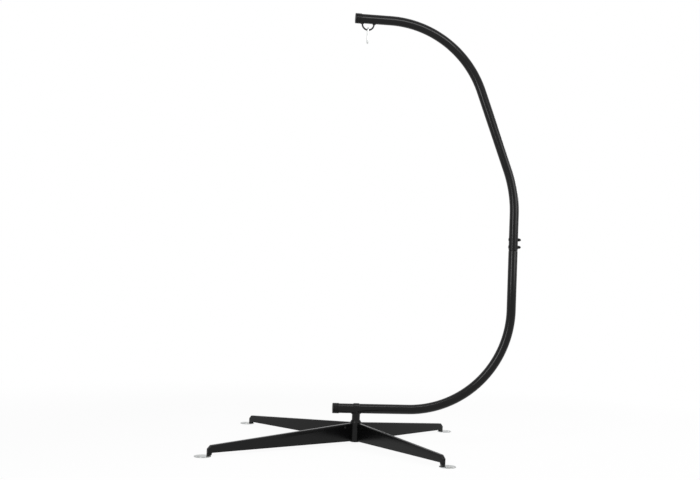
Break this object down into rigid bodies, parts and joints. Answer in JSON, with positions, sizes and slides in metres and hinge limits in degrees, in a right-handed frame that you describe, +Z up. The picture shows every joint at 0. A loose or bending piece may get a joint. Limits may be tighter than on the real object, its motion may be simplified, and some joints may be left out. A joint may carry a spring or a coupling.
{
  "type": "hammock stand",
  "caption": "Black steel stand whose C-shaped tube arm turns in the hub of a four-legged base and holds a snap hook from an eye under its upper end.",
  "frame": {"origin": "the axis that the arm turns on, at floor level, under the hub", "axes": "+Z up along that axis, +X towards the arm's upright, the arm in the XZ plane; the base lies turned 9.9 degrees clockwise under it, seen from above"},
  "size_m": [1.4981, 1.2705, 2.0533],
  "materials": {
    "powder_coat": "gloss black powder coat on steel, roughness about 0.28",
    "black_plastic": "moulded black plastic",
    "nylon": "plain nylon, turned",
    "zinc_plate": "bright zinc-plated steel",
    "spring_steel": "drawn spring wire"
  },
  "bodies": {
    "base": {"hub_tube": "powder_coat", "hub_floor": "powder_coat", "lower_bush": "nylon", "collar_bush": "black_plastic", "hub_plug": "black_plastic", "hub_stub_front_left": "powder_coat", "hub_stub_back_left": "powder_coat", "hub_stub_front_right": "powder_coat", "hub_stub_back_right": "powder_coat", "leg_front_left": "powder_coat", "leg_back_left": "powder_coat", "leg_front_right": "powder_coat", "leg_back_right": "powder_coat", "leg_bolt_front_left": "powder_coat", "leg_bolt_back_left": "powder_coat", "leg_bolt_front_right": "powder_coat", "leg_bolt_back_right": "powder_coat", "leg_nut_front_left": "powder_coat", "leg_nut_back_left": "powder_coat", "leg_nut_front_right": "powder_coat", "leg_nut_back_right": "powder_coat", "foot_plate_front_left": "zinc_plate", "foot_plate_back_left": "zinc_plate", "foot_plate_front_right": "zinc_plate", "foot_plate_back_right": "zinc_plate", "foot_screw_front_left": "zinc_plate", "foot_screw_back_left": "zinc_plate", "foot_screw_front_right": "zinc_plate", "foot_screw_back_right": "zinc_plate", "foot_nut_front_left": "zinc_plate", "foot_nut_back_left": "zinc_plate", "foot_nut_front_right": "zinc_plate", "foot_nut_back_right": "zinc_plate"},
    "arm": {"lower_arm_tube": "powder_coat", "upper_arm_tube": "powder_coat", "top_end_cap": "black_plastic", "bottom_end_cap": "black_plastic", "joint_bolt_lower": "powder_coat", "joint_bolt_upper": "powder_coat", "joint_saddle_washer_lower": "black_plastic", "joint_saddle_washer_upper": "black_plastic", "joint_cap_nut_lower": "powder_coat", "joint_cap_nut_upper": "powder_coat", "hanging_eye": "powder_coat", "saddle_strap": "powder_coat", "neck_post": "powder_coat", "post_plug": "zinc_plate", "pivot_washer": "zinc_plate", "pivot_bolt": "zinc_plate"},
    "snap_hook": {"snap_hook_body": "zinc_plate", "gate_pin": "zinc_plate"},
    "hook_gate": {"snap_hook_gate": "zinc_plate", "gate_spring": "spring_steel"}
  },
  "joints": [
    {"name": "arm_swivel", "type": "hinge", "parent": "base", "child": "arm", "pos_m": [0, 0, 0], "axis": [0, 0, 1], "continuous": true},
    {"name": "hook_swing", "type": "hinge", "parent": "arm", "child": "snap_hook", "pos_m": [-0.0145, 0, 1.9757], "axis": [1, 0, 0], "range_deg": [-120, 120]},
    {"name": "gate_hinge", "type": "hinge", "parent": "snap_hook", "child": "hook_gate", "pos_m": [-0.0145, 0.009, 1.97148], "axis": [-1, 0, 0], "range_deg": [0, 25], "stiffness_Nm_per_rad": 0.05, "springref_deg": -22.92}
  ]
}
